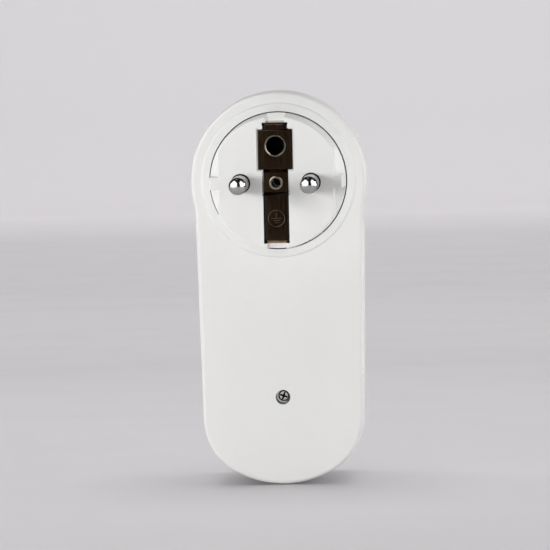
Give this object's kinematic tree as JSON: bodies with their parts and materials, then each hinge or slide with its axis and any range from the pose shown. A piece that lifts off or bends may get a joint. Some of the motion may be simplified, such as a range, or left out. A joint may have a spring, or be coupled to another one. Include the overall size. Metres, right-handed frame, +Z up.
{
  "type": "plug in power meter",
  "caption": "Adapter-style energy meter: earthed mains plug at the rear, shuttered outlet, display and keys at the front, round head on a long tapering body.",
  "frame": {"origin": "on the plug axis, midway between the two pins, in the plane of the plug face they stand on", "axes": "+Y along the pins, out of the plug side; -Y is the outlet and display side; +Z up towards the round head's top; +X to the user's right, seen from the outlet side"},
  "size_m": [0.0484, 0.079, 0.1077],
  "materials": {
    "housing_white": "fine satin moulded plastic",
    "insert_white": "satin moulded plastic",
    "inner_plastic": "matt moulded plastic",
    "grip_plastic": "fine textured soft-touch plastic",
    "pin_nickel": "polished nickel plate",
    "strap_bronze": "polished dark bronze",
    "sleeve_metal": "polished nickel-plated brass",
    "contact_brass": "bright stamped brass",
    "screw_steel": "zinc-plated steel",
    "spring_steel": "spring wire",
    "board_green": "solder-masked glass laminate",
    "chip_black": "moulded epoxy",
    "capacitor_yellow": "moulded case",
    "varistor_blue": "dipped epoxy",
    "can_metal": "drawn can",
    "fuse_glass": "glass tube with metal caps",
    "resistor_body": "lacquered",
    "header_black": "moulded",
    "strip_rubber": "striped silicone",
    "lcd_glass": "grey-green reflective display glass",
    "window_clear": "clear polished acrylic",
    "button_grey": "satin moulded plastic",
    "shutter_plastic": "matt moulded plastic"
  },
  "bodies": {
    "housing": {"rear_shell": "housing_white", "front_shell": "housing_white", "left_grip": "grip_plastic", "right_grip": "grip_plastic", "housing_screw": "screw_steel", "plug_insert": "insert_white", "plug_pin_left": "pin_nickel", "plug_pin_right": "pin_nickel", "earth_strap": "strap_bronze", "earth_pin_sleeve": "sleeve_metal", "earth_rivet": "sleeve_metal", "earth_link": "contact_brass", "contact_carrier": "inner_plastic", "carrier_screws": "screw_steel", "left_contact": "contact_brass", "right_contact": "contact_brass", "socket_earth_clip": "contact_brass", "shutter_spring": "spring_steel", "socket_cup": "insert_white", "left_busbar": "contact_brass", "right_busbar": "contact_brass", "main_board": "board_green", "board_screws": "screw_steel", "dropper_capacitor": "capacitor_yellow", "surge_varistor": "varistor_blue", "input_fuse": "fuse_glass", "smoothing_capacitor": "can_metal", "current_shunt": "contact_brass", "metering_chip": "chip_black", "timing_crystal": "can_metal", "backup_cell": "can_metal", "resistors": "resistor_body", "display_board": "board_green", "display_screws": "screw_steel", "board_header": "header_black", "controller_chip": "chip_black", "contact_strips": "strip_rubber", "lcd_panel": "lcd_glass", "lcd_holder": "inner_plastic", "lcd_window": "window_clear", "key_switches": "header_black"},
    "shutter": {"shutter": "shutter_plastic"},
    "mode_key": {"mode_button": "button_grey", "mode_plunger": "header_black"},
    "up_key": {"up_button": "button_grey", "up_plunger": "header_black"},
    "set_key": {"set_button": "button_grey", "set_plunger": "header_black"}
  },
  "joints": [
    {"name": "shutter_turn", "type": "hinge", "parent": "housing", "child": "shutter", "pos_m": [0, -0.0384, 0], "axis": [0, 1, 0], "range_deg": [0, 42], "stiffness_Nm_per_rad": 0.004, "springref_deg": -17.19},
    {"name": "mode_press", "type": "slide", "parent": "housing", "child": "mode_key", "axis": [0, 1, 0], "range_m": [0, 0.0005], "stiffness_N_per_m": 1500, "springref_m": -0.0003},
    {"name": "up_press", "type": "slide", "parent": "housing", "child": "up_key", "axis": [0, 1, 0], "range_m": [0, 0.0005], "stiffness_N_per_m": 1500, "springref_m": -0.0003},
    {"name": "set_press", "type": "slide", "parent": "housing", "child": "set_key", "axis": [0, 1, 0], "range_m": [0, 0.0005], "stiffness_N_per_m": 1500, "springref_m": -0.0003}
  ]
}
